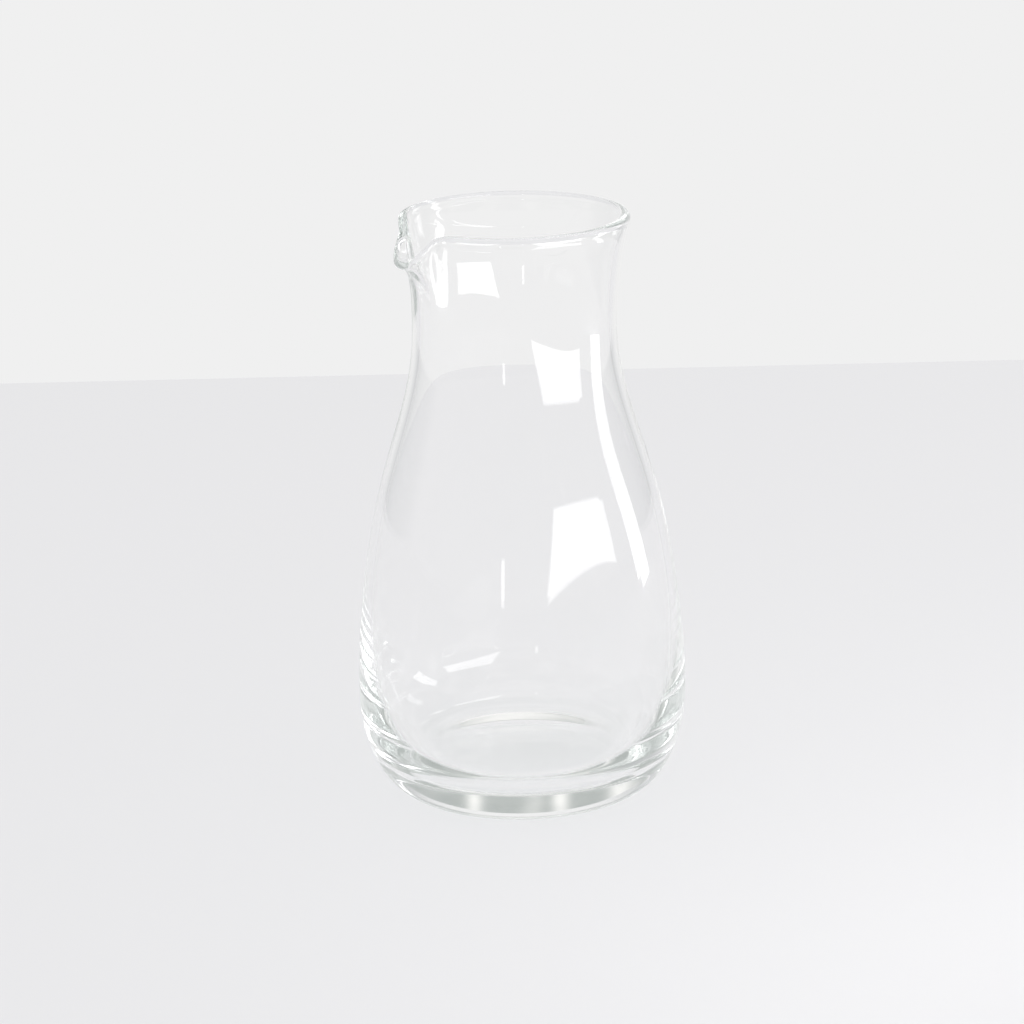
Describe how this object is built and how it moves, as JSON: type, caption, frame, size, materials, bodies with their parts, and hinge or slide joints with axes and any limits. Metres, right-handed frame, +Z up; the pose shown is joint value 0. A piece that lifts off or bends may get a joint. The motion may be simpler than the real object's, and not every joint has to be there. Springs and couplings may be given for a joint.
{
  "type": "sake carafe",
  "caption": "Clear glass carafe for sake with a wide belly on a thick foot, a waisted neck and a round mouth pinched into a small pouring lip.",
  "frame": {"origin": "middle of the foot, on the surface that the carafe stands on", "axes": "+Z up along the axis of the body, -X towards the pouring lip"},
  "size_m": [0.0814, 0.0814, 0.1449],
  "materials": {
    "clear_glass": "clear soda-lime glass, fire-polished, very faint grey-green where it is thick"
  },
  "bodies": {
    "root": {"carafe": "clear_glass"}
  },
  "joints": []
}
